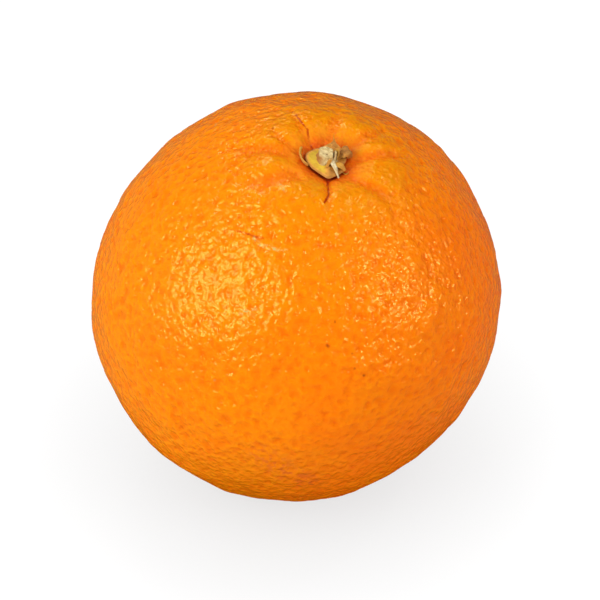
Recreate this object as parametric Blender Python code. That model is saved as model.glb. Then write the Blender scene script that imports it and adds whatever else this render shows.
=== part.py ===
"""A whole sweet orange, stem end up, as it rests on a small flat spot.

The fruit is one solid. Its skin is a distance from the centre in every direction: a slightly flattened,
slightly slanted ball, with a sunken stem end, furrows that run out from the stem, puffed lobes between
them, and pits all over. The dried calyx and the broken stem end are pieces of their own.
"""

import math
from typing import NamedTuple

import bmesh
import bpy
import numpy as np
from mathutils import Matrix, Vector

MM = 0.001

# The fruit's body
MEAN_RADIUS = 39.8 * MM
FLATTENING = 0.02  # share of the radius lost between the waist and the two ends
SLANT_SWELL = 0.037  # share of the radius gained along the fruit's longest line
LONGEST_LINE = (0.49, 0.58, 0.65)
LUMP_COUNT = 7
LUMP_HEIGHT = 0.09 * MM
LUMP_WAVES = 3.2
LUMP_SEED = 11

# How it lies: the stem leans from upright, and the underside rests on a flat spot
LEAN = math.radians(10.5)
LEAN_TOWARDS = math.radians(-32)
FLAT_DEPTH = 38.75 * MM  # from the fruit's centre straight down to the flat spot

# The sunken stem end and the raised collar round it, measured along the peel from the stem
SINK_DEPTH = 2.6 * MM
SINK_RADIUS = 7.4 * MM
SINK_POWER = 3.0
COLLAR_HEIGHT = 0.6 * MM
COLLAR_RADIUS = 12.0 * MM
COLLAR_WIDTH = 5.0 * MM

# The pits of the peel, larger than life, and how they fade on the smooth lobes round the stem
PIT_COUNT = 1080
PIT_RADIUS = 1.35 * MM
PIT_DEPTH = 0.45 * MM
PIT_SIZE_VARIES = 0.3
RIM_SHARE = 0.12  # the rim of a pit stands up by this share of its depth
RING_POINTS = 4
PIT_SEED = 5
PUSH_ROUNDS = 40
PUSH_REACH = 1.45  # how far a pit pushes its neighbours, as a share of their even spacing
PUSH_STEP = 0.35
SMOOTH_SHARE = 0.2
SMOOTH_UNTIL = 9.0 * MM
PITTED_FROM = 21.0 * MM

# The surface is sampled more finely towards the stem
CROWDING = 0.62
CROWDED_ANGLE = 0.42

# The calyx: a dried button with five lobes
CALYX_RADIUS = 4.5 * MM
CALYX_THICKNESS = 1.7 * MM
CALYX_RIM_THICKNESS = 0.8 * MM
CALYX_SIDES = 50
CALYX_RINGS = 12
LOBE_HALF_ANGLE = math.radians(34)
LOBE_POINT = 1.3  # above 1 the lobes are pointed, below 1 they are blunt
CURL_HALF_ANGLE = math.radians(42)
CURL_STARTS = 0.55
CURL_POWER = 1.5

# The broken stem end
STUB_RADIUS = 1.35 * MM
STUB_HEIGHT = 1.5 * MM
STUB_SIDES = 20
STUB_RINGS = 14
CAP_SHARE = 0.72
STUB_FLARE = 0.22
STUB_OUT_OF_ROUND = 0.06
SLIT_DEPTH = 0.55 * MM
SLIT_HALF_WIDTH = 0.3 * MM
SLIT_OFFSET = 0.45 * MM
RIM_UNEVENNESS = 0.3 * MM
FIBRE_AZIMUTH = math.radians(-71)
FIBRE_START = 0.7 * MM
FIBRE_END = 6.2 * MM
FIBRE_WIDTH = 0.85 * MM
FIBRE_TAPER = 0.62  # share of its width that the fibre has lost at its tip
FIBRE_THICKNESS = 0.6 * MM
FIBRE_RISE = 0.25 * MM
FIBRE_SEGMENTS = 9

GAP = 0.3 * MM  # between the pieces, where they all but touch

PEEL_COLOUR = (0.90, 0.27, 0.012)
HUSK_COLOUR = (0.50, 0.31, 0.055)
CORK_COLOUR = (0.62, 0.49, 0.27)


class Furrow(NamedTuple):
    """A valley in the peel that runs outwards and turns evenly round the stem on its way."""

    start: float
    end: float
    azimuth_at_start: float
    azimuth_at_end: float
    depth: float
    half_width: float


class Lobe(NamedTuple):
    """One sepal of the calyx: where it points, how far it stands out, and how much its tip curls up."""

    azimuth: float
    reach: float
    curl: float


FURROWS = (
    Furrow(5.4 * MM, 14.5 * MM, -91, -91, 1.3 * MM, 0.9 * MM),
    Furrow(5.0 * MM, 15.0 * MM, 165, 145, 1.2 * MM, 1.1 * MM),
    Furrow(4.6 * MM, 16.5 * MM, 130, 116, 1.1 * MM, 1.0 * MM),
    Furrow(6.0 * MM, 23.0 * MM, 181, 173, 0.9 * MM, 1.8 * MM),
    Furrow(6.0 * MM, 21.0 * MM, -138, -161, 0.9 * MM, 1.8 * MM),
    Furrow(4.8 * MM, 19.0 * MM, -3, 18, 1.0 * MM, 1.3 * MM),
    Furrow(4.8 * MM, 19.0 * MM, -43, -31, 1.0 * MM, 1.4 * MM),
    Furrow(5.0 * MM, 18.0 * MM, 42, 44, 0.8 * MM, 1.3 * MM),
    Furrow(5.0 * MM, 16.0 * MM, 84, 80, 0.8 * MM, 1.2 * MM),
)

LOBES = (
    Lobe(math.radians(-88), 1.4 * MM, 0.1 * MM),
    Lobe(math.radians(-166), 0.9 * MM, 1.1 * MM),
    Lobe(math.radians(131), 0.3 * MM, 0.6 * MM),
    Lobe(math.radians(75), 1.3 * MM, 1.3 * MM),
    Lobe(math.radians(6), 0.7 * MM, 1.3 * MM),
)


def clear_scene():
    """Remove every object that is already in the scene."""
    for obj in list(bpy.data.objects):
        bpy.data.objects.remove(obj, do_unlink=True)


def eased(low, high, value):
    """0 below low, 1 above high, and an even S-curve between them."""
    t = np.clip((value - low) / (high - low), 0.0, 1.0)
    return t * t * (3.0 - 2.0 * t)


def unit(rows):
    """Rows of vectors, each brought to length 1."""
    return rows / np.linalg.norm(rows, axis=-1, keepdims=True)


def lumps(directions):
    """Low, broad lumps: a few seeded waves that cross the ball in different directions."""
    rng = np.random.default_rng(LUMP_SEED)
    waves = rng.normal(size=(LUMP_COUNT, 3)) * LUMP_WAVES
    phases = rng.uniform(0.0, 2.0 * math.pi, LUMP_COUNT)
    return LUMP_HEIGHT * np.sin(directions @ waves.T + phases).sum(axis=1)


def body_radius(directions):
    """The ball without its stem end: flattened a little, and longer along one slanted line."""
    longest = unit(np.array(LONGEST_LINE))
    flattened = FLATTENING * (directions[:, 2] ** 2 - 1.0 / 3.0)
    swollen = SLANT_SWELL * ((directions @ longest) ** 2 - 1.0 / 3.0)
    return MEAN_RADIUS * (1.0 - flattened + swollen) + lumps(directions)


def sunken_end(arc):
    """The dimple under the calyx and the collar round it, by distance along the peel from the stem."""
    sink = SINK_DEPTH * np.exp(-((arc / SINK_RADIUS) ** SINK_POWER))
    collar = COLLAR_HEIGHT * np.exp(-(((arc - COLLAR_RADIUS) / COLLAR_WIDTH) ** 2))
    return collar - sink


def furrow_depth(furrow, arc, azimuth):
    """How deep one furrow cuts: a bell-shaped valley whose two ends run out softly."""
    along = (arc - furrow.start) / (furrow.end - furrow.start)
    turned = furrow.azimuth_at_end - furrow.azimuth_at_start
    middle = np.radians(furrow.azimuth_at_start + turned * np.clip(along, 0.0, 1.0))
    aside = arc * np.sin(azimuth - middle)
    ahead = np.cos(azimuth - middle) > 0.0
    ends = eased(0.0, 0.15, along) * eased(0.0, 0.5, 1.0 - along)
    return ahead * furrow.depth * ends * np.exp(-((aside / furrow.half_width) ** 2))


def peel_radius(directions):
    """Distance from the centre to the peel, pits left out, for rows of unit directions."""
    arc = MEAN_RADIUS * np.arccos(np.clip(directions[:, 2], -1.0, 1.0))
    azimuth = np.arctan2(directions[:, 1], directions[:, 0])
    radius = body_radius(directions) + sunken_end(arc)
    for furrow in FURROWS:
        radius -= furrow_depth(furrow, arc, azimuth)
    return radius


def floor_height(x, y):
    """Height of the dimple's smooth floor above the fruit's centre, at points beside the stem's axis."""
    directions = unit(np.stack([x, y, np.full_like(x, MEAN_RADIUS - SINK_DEPTH)], axis=1))
    arc = MEAN_RADIUS * np.arccos(directions[:, 2])
    return (body_radius(directions) + sunken_end(arc)) * directions[:, 2]


def crowd_towards_stem(directions):
    """Draw directions towards the stem, so that its furrows get smaller faces than the rest."""
    polar = np.arccos(np.clip(directions[:, 2], -1.0, 1.0))
    erf = np.vectorize(math.erf)
    pull = CROWDING * CROWDED_ANGLE * math.sqrt(math.pi) / 2.0
    drawn = (polar - pull * erf(polar / CROWDED_ANGLE)) * math.pi / (math.pi - pull)
    ring = np.hypot(directions[:, 0], directions[:, 1])
    side = np.sin(drawn) / np.maximum(ring, 1e-9)
    return np.stack([directions[:, 0] * side, directions[:, 1] * side, np.cos(drawn)], axis=1)


def spread_pits():
    """Pit centres all round a ball: seeded at random, then pushed apart till they lie evenly."""
    rng = np.random.default_rng(PIT_SEED)
    pits = unit(rng.normal(size=(PIT_COUNT, 3)))
    reach = PUSH_REACH * math.sqrt(4.0 * math.pi / PIT_COUNT)
    for _ in range(PUSH_ROUNDS):
        apart = np.sqrt(np.maximum(2.0 - 2.0 * pits @ pits.T, 1e-12))
        push = np.maximum(1.0 - apart / reach, 0.0) / apart
        np.fill_diagonal(push, 0.0)
        moved = push.sum(axis=1, keepdims=True) * pits - push @ pits
        pits = unit(pits + PUSH_STEP * reach * moved)
    return pits


def hull_faces(directions):
    """Triangles between neighbouring points on a ball, as the faces of their convex hull."""
    bm = bmesh.new()
    verts = [bm.verts.new(point) for point in directions]
    bm.verts.index_update()
    bmesh.ops.convex_hull(bm, input=verts, use_existing_faces=False)
    bmesh.ops.recalc_face_normals(bm, faces=bm.faces)
    faces = [[vert.index for vert in face.verts] for face in bm.faces]
    bm.free()
    return faces


def ring_points(centres, size):
    """Points in a ring round each pit's centre, each ring turned by its own seeded angle."""
    rng = np.random.default_rng(PIT_SEED + 1)
    first = unit(np.cross(centres, np.array(LONGEST_LINE)))
    second = np.cross(centres, first)
    turn = rng.uniform(0.0, 2.0 * math.pi, len(centres))[:, None]
    reach = PIT_RADIUS / MEAN_RADIUS * size[:, None]
    steps = [turn + 2.0 * math.pi * step / RING_POINTS for step in range(RING_POINTS)]
    return [unit(centres + reach * (np.cos(a) * first + np.sin(a) * second)) for a in steps]


def pitted_ball():
    """Points on a ball, how far each is sunk as a share of a full pit, and the faces between them."""
    centres = spread_pits()
    rng = np.random.default_rng(PIT_SEED + 2)
    size = 1.0 + PIT_SIZE_VARIES * rng.uniform(-1.0, 1.0, len(centres))
    rings = ring_points(centres, size)
    points = crowd_towards_stem(np.concatenate([centres, *rings]))
    sunk = np.concatenate([size, np.full(RING_POINTS * len(centres), -RIM_SHARE)])
    return points, sunk, hull_faces(points)


def lean_matrix():
    """Turn the upright fruit so that its stem leans the way it lies."""
    tilt_axis = Vector((-math.sin(LEAN_TOWARDS), math.cos(LEAN_TOWARDS), 0.0))
    return Matrix.Rotation(LEAN, 4, tilt_axis)


def flatten_underside(points):
    """Draw what is lower than the flat spot up to it, straight towards the fruit's centre."""
    down = np.array(lean_matrix().to_3x3().inverted() @ Vector((0.0, 0.0, -1.0)))
    depth = points @ down
    return points * np.where(depth > FLAT_DEPTH, FLAT_DEPTH / np.maximum(depth, MM), 1.0)[:, None]


def make_material(name, colour, roughness):
    """A plain coat of one colour."""
    material = bpy.data.materials.new(name)
    material.use_nodes = True
    shader = material.node_tree.nodes["Principled BSDF"]
    shader.inputs["Base Color"].default_value = (*colour, 1.0)
    shader.inputs["Roughness"].default_value = roughness
    shader.inputs["Metallic"].default_value = 0.0
    return material


def add_object(name, mesh, material, parent):
    """Put a mesh into the scene as a named object under the empty that carries the fruit."""
    obj = bpy.data.objects.new(name, mesh)
    bpy.context.scene.collection.objects.link(obj)
    obj.parent = parent
    mesh.materials.append(material)
    mesh.shade_smooth()
    return obj


def make_fruit(parent):
    """The fruit, one solid, with its pitted peel and sunken stem end."""
    directions, sunk, faces = pitted_ball()
    arc = MEAN_RADIUS * np.arccos(np.clip(directions[:, 2], -1.0, 1.0))
    pitted = SMOOTH_SHARE + (1.0 - SMOOTH_SHARE) * eased(SMOOTH_UNTIL, PITTED_FROM, arc)
    radius = peel_radius(directions) - PIT_DEPTH * sunk * pitted
    points = flatten_underside(directions * radius[:, None])
    mesh = bpy.data.meshes.new("fruit")
    mesh.from_pydata(points.tolist(), [], faces)
    peel = make_material("peel", PEEL_COLOUR, 0.42)
    return add_object("fruit", mesh, peel, parent)


def calyx_rim(azimuth):
    """Distance from the stem's axis to the calyx's rim: a round button with five pointed lobes."""
    rim = np.full(azimuth.shape, CALYX_RADIUS)
    for lobe in LOBES:
        turned = np.abs(np.arctan2(np.sin(azimuth - lobe.azimuth), np.cos(azimuth - lobe.azimuth)))
        rim += lobe.reach * np.maximum(1.0 - turned / LOBE_HALF_ANGLE, 0.0) ** LOBE_POINT
    return rim


def calyx_curl(share, azimuth):
    """How far the calyx lifts: nothing in the middle, and most at the tips of the lobes that curl."""
    lift = np.zeros_like(azimuth)
    for lobe in LOBES:
        facing = np.cos(azimuth - lobe.azimuth)
        lift += lobe.curl * eased(math.cos(CURL_HALF_ANGLE), 1.0, facing)
    return lift * eased(CURL_STARTS, 1.0, share) ** CURL_POWER


def ball_mesh(name, sides, rings):
    """A closed ball of radius 1 as a new mesh, with its points as rows, to be squeezed into shape."""
    bm = bmesh.new()
    bmesh.ops.create_uvsphere(bm, u_segments=sides, v_segments=rings, radius=1.0)
    mesh = bpy.data.meshes.new(name)
    bm.to_mesh(mesh)
    bm.free()
    ball = np.empty(len(mesh.vertices) * 3)
    mesh.vertices.foreach_get("co", ball)
    return mesh, ball.reshape(-1, 3)


def calyx_thickness(share):
    """The calyx thins from its middle to its rim, by the share of the way there."""
    return CALYX_RIM_THICKNESS + (CALYX_THICKNESS - CALYX_RIM_THICKNESS) * (1.0 - share**2)


def make_calyx(parent):
    """The dried calyx: a ball squeezed into a lobed button that follows the dimple's floor."""
    mesh, ball = ball_mesh("calyx", CALYX_SIDES, CALYX_RINGS)
    share = np.minimum(np.hypot(ball[:, 0], ball[:, 1]), 1.0)
    azimuth = np.arctan2(ball[:, 1], ball[:, 0])
    out = share * calyx_rim(azimuth)
    x = out * np.cos(azimuth)
    y = out * np.sin(azimuth)
    across = 0.5 + 0.5 * np.sign(ball[:, 2]) * np.abs(ball[:, 2]) ** 0.5
    z = floor_height(x, y) + GAP + calyx_thickness(share) * across + calyx_curl(share, azimuth)
    mesh.vertices.foreach_set("co", np.stack([x, y, z], axis=1).ravel())
    mesh.update()
    husk = make_material("calyx_husk", HUSK_COLOUR, 0.6)
    return add_object("calyx", mesh, husk, parent)


def calyx_top(distance, azimuth):
    """Height of the calyx's upper face above the fruit's centre, at a distance along a spoke."""
    spoke = np.broadcast_to(azimuth, distance.shape)
    share = np.minimum(distance / calyx_rim(spoke), 1.0)
    floor = floor_height(distance * np.cos(spoke), distance * np.sin(spoke))
    return floor + GAP + calyx_thickness(share) + calyx_curl(share, spoke)


def make_fibre(parent, material):
    """The torn fibre: a tapering strip that starts inside the stem and bends down over the calyx."""
    out = np.linspace(FIBRE_START, FIBRE_END, FIBRE_SEGMENTS + 1)
    along = (out - FIBRE_START) / (FIBRE_END - FIBRE_START)
    rise = FIBRE_RISE * np.sin(math.pi * along)
    middle = calyx_top(out, FIBRE_AZIMUTH) + GAP + FIBRE_THICKNESS / 2.0 + rise
    half_width = FIBRE_WIDTH / 2.0 * (1.0 - FIBRE_TAPER * along)
    forward = np.array([math.cos(FIBRE_AZIMUTH), math.sin(FIBRE_AZIMUTH)])
    sideways = np.array([-forward[1], forward[0]])
    bm = bmesh.new()
    rings = []
    for distance, height, half in zip(out, middle, half_width):
        ring = []
        for side, up in ((-1, -1), (1, -1), (1, 1), (-1, 1)):
            spot = forward * distance + sideways * half * side
            ring.append(bm.verts.new((spot[0], spot[1], height + up * FIBRE_THICKNESS / 2.0)))
        rings.append([bm.edges.new((ring[i], ring[(i + 1) % 4])) for i in range(4)])
    for low, high in zip(rings, rings[1:]):
        bmesh.ops.bridge_loops(bm, edges=low + high)
    bmesh.ops.holes_fill(bm, edges=bm.edges, sides=4)
    bmesh.ops.recalc_face_normals(bm, faces=bm.faces)
    mesh = bpy.data.meshes.new("torn_fibre")
    bm.to_mesh(mesh)
    bm.free()
    fibre = add_object("torn_fibre", mesh, material, parent)
    fibre.hide_render = True
    fibre.display_type = "WIRE"
    return fibre


def squeezed_cylinder(ball):
    """Turn points of a ball into points of an upright cylinder of radius 1 that reaches from 0 to 1."""
    ring = np.hypot(ball[:, 0], ball[:, 1])
    on_cap = np.abs(ball[:, 2]) > CAP_SHARE
    cap_ring = ring / math.sqrt(1.0 - CAP_SHARE**2)
    out = np.where(on_cap, cap_ring, 1.0) / np.maximum(ring, 1e-9)
    height = np.clip(ball[:, 2] / CAP_SHARE, -1.0, 1.0)
    return ball[:, 0] * out, ball[:, 1] * out, (height + 1.0) / 2.0


def broken_top(x, y):
    """How far the stem's broken end is above or below level: an uneven rim and a slit across it."""
    azimuth = np.arctan2(y, x)
    rim = RIM_UNEVENNESS * (np.sin(azimuth + 0.6) + 0.5 * np.sin(3.0 * azimuth + 1.9))
    slit = SLIT_DEPTH * np.exp(-(((x - SLIT_OFFSET) / SLIT_HALF_WIDTH) ** 2))
    return rim * np.minimum(np.hypot(x, y) / STUB_RADIUS, 1.0) - slit


def make_stem_stub(parent):
    """The corky end of the broken stem, standing on the calyx, with the torn fibre joined to it."""
    mesh, ball = ball_mesh("stem_stub", STUB_SIDES, STUB_RINGS)
    x, y, height = squeezed_cylinder(ball)
    azimuth = np.arctan2(y, x)
    flare = 1.0 + STUB_FLARE * (1.0 - height) ** 2 + STUB_OUT_OF_ROUND * np.sin(3.0 * azimuth)
    x = x * STUB_RADIUS * flare
    y = y * STUB_RADIUS * flare
    foot = calyx_top(np.hypot(x, y), azimuth) + GAP
    head = calyx_top(np.zeros(1), np.zeros(1)) + GAP + STUB_HEIGHT + broken_top(x, y)
    z = foot + (head - foot) * height
    mesh.vertices.foreach_set("co", np.stack([x, y, z], axis=1).ravel())
    mesh.update()
    cork = make_material("stem_cork", CORK_COLOUR, 0.8)
    stub = add_object("stem_stub", mesh, cork, parent)
    joined = stub.modifiers.new("torn_fibre", "BOOLEAN")
    joined.operation = "UNION"
    joined.solver = "EXACT"
    joined.object = make_fibre(parent, cork)
    return stub


def main():
    """Build the fruit and what stands on it, and set the whole on its flat spot."""
    clear_scene()
    centre = bpy.data.objects.new("fruit_centre", None)
    bpy.context.scene.collection.objects.link(centre)
    fruit = make_fruit(centre)
    make_calyx(centre)
    make_stem_stub(centre)
    centre.matrix_world = lean_matrix()
    bpy.context.view_layer.update()
    points = np.array([centre.matrix_world @ vert.co for vert in fruit.data.vertices])
    middle = (points.min(axis=0) + points.max(axis=0)) / 2.0
    centre.location = (-middle[0], -middle[1], FLAT_DEPTH)


main()
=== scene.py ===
"""A whole sweet orange on a pale floor, seen from above its stem end in soft studio light.

The fruit is a ball worked out point by point: its body, the sunken stem end, the furrows and creases that
run out from the stem, the puffed lobes between them and thousands of pits. The dried calyx, its curled
sepals, the broken stem end and the torn fibres on it are pieces of their own.
"""

import itertools  # noqa: E402
import logging  # noqa: E402
import math  # noqa: E402
from collections.abc import Callable  # noqa: E402
from dataclasses import dataclass, field  # noqa: E402
from enum import Enum  # noqa: E402

import bpy  # noqa: E402
import numpy as np  # noqa: E402
from mathutils import Matrix, Vector  # noqa: E402


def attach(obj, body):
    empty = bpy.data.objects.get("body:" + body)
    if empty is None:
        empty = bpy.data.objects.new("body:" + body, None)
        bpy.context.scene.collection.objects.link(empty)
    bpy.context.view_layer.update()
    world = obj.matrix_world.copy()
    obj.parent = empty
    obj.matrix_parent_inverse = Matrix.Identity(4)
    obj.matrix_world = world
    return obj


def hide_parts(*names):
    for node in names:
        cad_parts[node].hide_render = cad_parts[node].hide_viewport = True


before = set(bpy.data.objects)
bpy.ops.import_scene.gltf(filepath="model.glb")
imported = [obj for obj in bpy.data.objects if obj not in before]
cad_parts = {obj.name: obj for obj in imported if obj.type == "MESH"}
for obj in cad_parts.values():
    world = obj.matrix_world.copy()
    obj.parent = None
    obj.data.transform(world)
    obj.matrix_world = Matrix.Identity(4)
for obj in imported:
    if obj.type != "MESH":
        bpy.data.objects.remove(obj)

MM = 0.001
LOG = logging.getLogger("orange")

Array = np.ndarray
Colour = tuple[float, float, float]
Pair = tuple[float, float]
Line = tuple[Pair, Pair]
Socket = bpy.types.NodeSocket


class Marking(Enum):
    """Values that a piece carries at its points for its finish to read."""

    PIT = "pit"
    FURROW_SHADE = "furrow"
    LOBE = "lobe"
    COLLAR = "collar"
    DULL = "dull"
    GAP_SHADOW = "gap_shadow"
    DRY = "dry"
    HOLLOW_SHADE = "hollow"
    ACROSS = "across"
    ALONG = "along"


class Effect(Enum):
    """Shader groups that several finishes share."""

    MOTTLE = "mottle"
    PORES = "pores"
    SPECKLE = "speckle"
    CRACK = "crack"
    STREAKS = "streaks"


def eased(low: float, high: float, value: Array) -> Array:
    """An even S-curve from 0 at low to 1 at high.

    Args:
        low: Where the curve leaves 0.
        high: Where it reaches 1.
        value: Values to look up.

    Returns:
        3t^2 - 2t^3, where t is the share of the way from low to high.
    """
    t = np.clip((value - low) / (high - low), 0.0, 1.0)
    return t * t * (3.0 - 2.0 * t)


def unit(rows: Array) -> Array:
    """Rows of vectors, each brought to length 1."""
    return rows / np.linalg.norm(rows, axis=-1, keepdims=True)


def value_noise(points: Array, cell: float, seed: int) -> Array:
    """Smooth random values between -1 and 1.

    A seeded number sits on every corner of a cubic lattice, and S-curves blend the eight corners round
    each point.

    Args:
        points: Rows of places.
        cell: Edge of the lattice's cubes.
        seed: Seed of the numbers on the corners.

    Returns:
        One value for each place.
    """
    size = 32
    table = np.random.default_rng(seed).uniform(-1.0, 1.0, (size, size, size))
    spot = points / cell + 2.0 * size
    base = np.floor(spot).astype(int)
    part = spot - base
    part = part * part * (3.0 - 2.0 * part)
    total = np.zeros(len(points))
    for corner in itertools.product((0, 1), repeat=3):
        weight = np.prod(np.where(corner, part, 1.0 - part), axis=1)
        total += weight * table[tuple(((base + corner) % size).T)]
    return total


def curve_through(stations: Array, count: int) -> Array:
    """Evenly numbered points on a smooth curve through the stations.

    Each stretch is the cubic that passes its two stations with slopes taken from the stations on either
    side of them.

    Args:
        stations: Rows of places that the curve passes.
        count: How many points to return.

    Returns:
        The points, from the first station to the last.
    """
    ends = [2.0 * stations[:1] - stations[1:2], stations, 2.0 * stations[-1:] - stations[-2:-1]]
    rows = np.concatenate(ends)
    t = np.linspace(0.0, len(stations) - 1 - 1e-9, count)
    first = t.astype(int)
    f = (t - first)[:, None]
    a, b, c, d = (rows[first + k] for k in range(4))
    cubic = (3.0 * (b - c) + d - a) * f**3 + (2.0 * a - 5.0 * b + 4.0 * c - d) * f**2
    return 0.5 * (2.0 * b + (c - a) * f + cubic)


def path_distance(spots: Array, path: Array) -> tuple[Array, Array]:
    """Distance from each spot to a broken line.

    Args:
        spots: Rows of places.
        path: Rows of the line's corners.

    Returns:
        The distance, and the share of the line's length at which its nearest place lies.
    """
    nearest = np.full(len(spots), np.inf)
    along = np.zeros(len(spots))
    reached = 0.0
    for start, end in zip(path, path[1:]):
        step = end - start
        length = float(np.linalg.norm(step))
        share = np.clip((spots - start) @ step / length**2, 0.0, 1.0)
        apart = np.linalg.norm(spots - start - share[:, None] * step, axis=1)
        nearer = apart < nearest
        nearest = np.where(nearer, apart, nearest)
        along = np.where(nearer, reached + share * length, along)
        reached += length
    return nearest, along / reached


CALYX_OUTLINE: tuple[Pair, ...] = (
    (-87, 5.3), (-103, 4.3), (-123, 3.8), (-150, 3.85), (-172, 4.1), (165, 4.15), (140, 3.6), (120, 3.4),
    (78, 3.9), (40, 4.0), (12, 3.8), (-12, 3.2), (-39, 4.1), (-55, 4.2), (-72, 4.5),
)


def calyx_reach(azimuth: Array) -> Array:
    """How far the calyx reaches from the stem's axis.

    Args:
        azimuth: Direction round the stem, in radians.

    Returns:
        The outline's distance, straight from one corner to the next, in metres.
    """
    degrees, reach = np.array(sorted(CALYX_OUTLINE)).T
    return np.interp(np.degrees(azimuth), degrees, reach, period=360.0) * MM


@dataclass
class Skin:
    """The closed surface of one piece: its points, its faces and the values that its finish reads."""

    points: Array
    faces: list[list[int]]
    values: dict[Marking, Array] = field(default_factory=dict)

    def outwards(self) -> "Skin":
        """The same skin with every face turned to point out of it.

        Returns:
            The skin itself, or one with all faces reversed where the volume that they enclose, the sum of
            the corner products of each face's first three corners, is negative.
        """
        corners = self.points[np.array([face[:3] for face in self.faces])]
        volume = np.einsum("ij,ij->", corners[:, 0], np.cross(corners[:, 1], corners[:, 2]))
        if volume > 0.0:
            return self
        return Skin(self.points, [face[::-1] for face in self.faces], self.values)

    def made(self, name: str, material: bpy.types.Material) -> bpy.types.Object:
        """Put the skin into the scene as an object.

        Args:
            name: The object's name.
            material: Its finish.

        Returns:
            The new object, smooth shaded, at the origin.
        """
        mesh = bpy.data.meshes.new(name)
        mesh.from_pydata(self.points.tolist(), [], self.faces)
        for marking, values in self.values.items():
            layer = mesh.attributes.new(marking.value, "FLOAT", "POINT")
            layer.data.foreach_set("value", np.ascontiguousarray(values, dtype=np.float32))
        mesh.materials.append(material)
        mesh.shade_smooth()
        obj = bpy.data.objects.new(name, mesh)
        bpy.context.scene.collection.objects.link(obj)
        return obj


def wrapped_faces(rows: int, columns: int) -> list[list[int]]:
    """Faces of a surface that wraps round and closes in a point at both ends.

    Args:
        rows: How many rings of points lie between the two end points.
        columns: How many points a ring has.

    Returns:
        Triangles round both end points and four-sided faces between the rings. The first point and the
        last are the ends.
    """
    ring = np.arange(columns)
    after = (ring + 1) % columns
    last = rows * columns + 1
    foot = np.stack([np.zeros(columns, int), 1 + after, 1 + ring], axis=1)
    top = 1 + (rows - 1) * columns
    head = np.stack([np.full(columns, last), top + ring, top + after], axis=1)
    low = 1 + np.arange(rows - 1)[:, None] * columns
    quads = np.stack([low + ring, low + after, low + columns + after, low + columns + ring], axis=2)
    return foot.tolist() + quads.reshape(-1, 4).tolist() + head.tolist()


def wrapped_points(rings: Array) -> Array:
    """Points of a wrapped surface: the middle of the first ring, all rings between, the last's middle."""
    middle = rings[1:-1].reshape(-1, rings.shape[-1])
    return np.concatenate([rings[:1].mean(axis=1), middle, rings[-1:].mean(axis=1)])


def grid_faces(lines: int) -> Array:
    """Rows of four corners: the faces of a square grid of points with so many lines each way."""
    spot = np.arange(lines**2).reshape(lines, lines)
    return np.stack([spot[:-1, :-1], spot[1:, :-1], spot[1:, 1:], spot[:-1, 1:]], axis=2).reshape(-1, 4)


def cube_ball(count: int) -> tuple[Array, list[list[int]]]:
    """A ball made from the six sides of a cube.

    Each side is a square grid with lines at equal angles, pushed out to distance 1, and points that two
    sides share are merged.

    Args:
        count: Faces along one edge of the cube.

    Returns:
        Directions as rows, and four-sided faces that point outwards.
    """
    turn = np.tan(np.linspace(-math.pi / 4.0, math.pi / 4.0, count + 1))
    right, up = (grid.reshape(-1, 1) for grid in np.meshgrid(turn, turn, indexing="ij"))
    square = grid_faces(count + 1)
    points, faces = [], []
    for out, sideways in itertools.product(np.eye(3), (1.0, -1.0)):
        outwards = out * sideways
        first = np.roll(out, 1)
        second = np.cross(outwards, first)
        faces.append(square + len(points) * (count + 1) ** 2)
        points.append(outwards + right * first + up * second)
    rows = unit(np.concatenate(points))
    _, kept, merged = np.unique(np.round(rows, 7), axis=0, return_index=True, return_inverse=True)
    return rows[kept], merged.reshape(-1)[np.concatenate(faces)].tolist()


def laid_flat(arc: Array, azimuth: Array) -> Array:
    """Places right of the stem and behind it, from distances and directions round it in radians."""
    return np.stack([arc * np.cos(azimuth), arc * np.sin(azimuth)], axis=1)


@dataclass(frozen=True)
class Furrow:
    """A valley in the peel that runs outwards and turns evenly round the stem on its way.

    Lengths are in millimetres and directions in degrees.
    """

    start: float
    end: float
    azimuth_at_start: float
    azimuth_at_end: float
    depth: float
    half_width: float

    def cut(self, arc: Array, azimuth: Array) -> Array:
        """Depth of the valley, in metres.

        Args:
            arc: Distance along the peel from the stem.
            azimuth: Direction round the stem, in radians.

        Returns:
            A bell curve across the valley, times S-curves that let both its ends run out.
        """
        along = (arc / MM - self.start) / (self.end - self.start)
        turned = self.azimuth_at_end - self.azimuth_at_start
        middle = np.radians(self.azimuth_at_start + turned * np.clip(along, 0.0, 1.0))
        aside = arc / MM * np.sin(azimuth - middle)
        ahead = np.cos(azimuth - middle) > 0.0
        ends = eased(0.0, 0.15, along) * eased(0.0, 0.5, 1.0 - along)
        return ahead * self.depth * MM * ends * np.exp(-((aside / self.half_width) ** 2))


@dataclass(frozen=True)
class Crease:
    """A sharp fold in the peel: the places it passes, as distance from the stem and degrees round it.

    Lengths are in millimetres. The peel's finish paints a dark line along the fold as painted shade.
    """

    places: tuple[Pair, ...]
    depth: float
    half_width: float
    painted_shade: float

    def path(self) -> Array:
        """The fold's line laid out flat."""
        arc, azimuth = np.array(self.places).T
        return curve_through(laid_flat(arc, np.radians(azimuth)), 9)

    def left(self, along: Array) -> Array:
        """Share of the depth that is left at a share of the way: 1 - 0.7 along^2."""
        return 1.0 - 0.7 * along**2

    def stops(self) -> list[tuple[float, float, float]]:
        """Places along the fold, four fifths of its depth down, as Fruit.on_peel takes them."""
        right, back = self.path().T
        below = 0.8 * self.depth * MM * self.left(np.linspace(0.0, 1.0, len(right)))
        return list(zip(np.hypot(right, back), np.degrees(np.arctan2(back, right)), below))

    def cut(self, arc: Array, azimuth: Array) -> Array:
        """Depth of the fold, in metres.

        Args:
            arc: Distance along the peel from the stem.
            azimuth: Direction round the stem, in radians.

        Returns:
            A valley with a narrow bottom, exp(-(distance / half width)^1.5), shallower towards its far end.
        """
        apart, along = path_distance(laid_flat(arc / MM, azimuth), self.path())
        return self.depth * MM * self.left(along) * np.exp(-((apart / self.half_width) ** 1.5))


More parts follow.
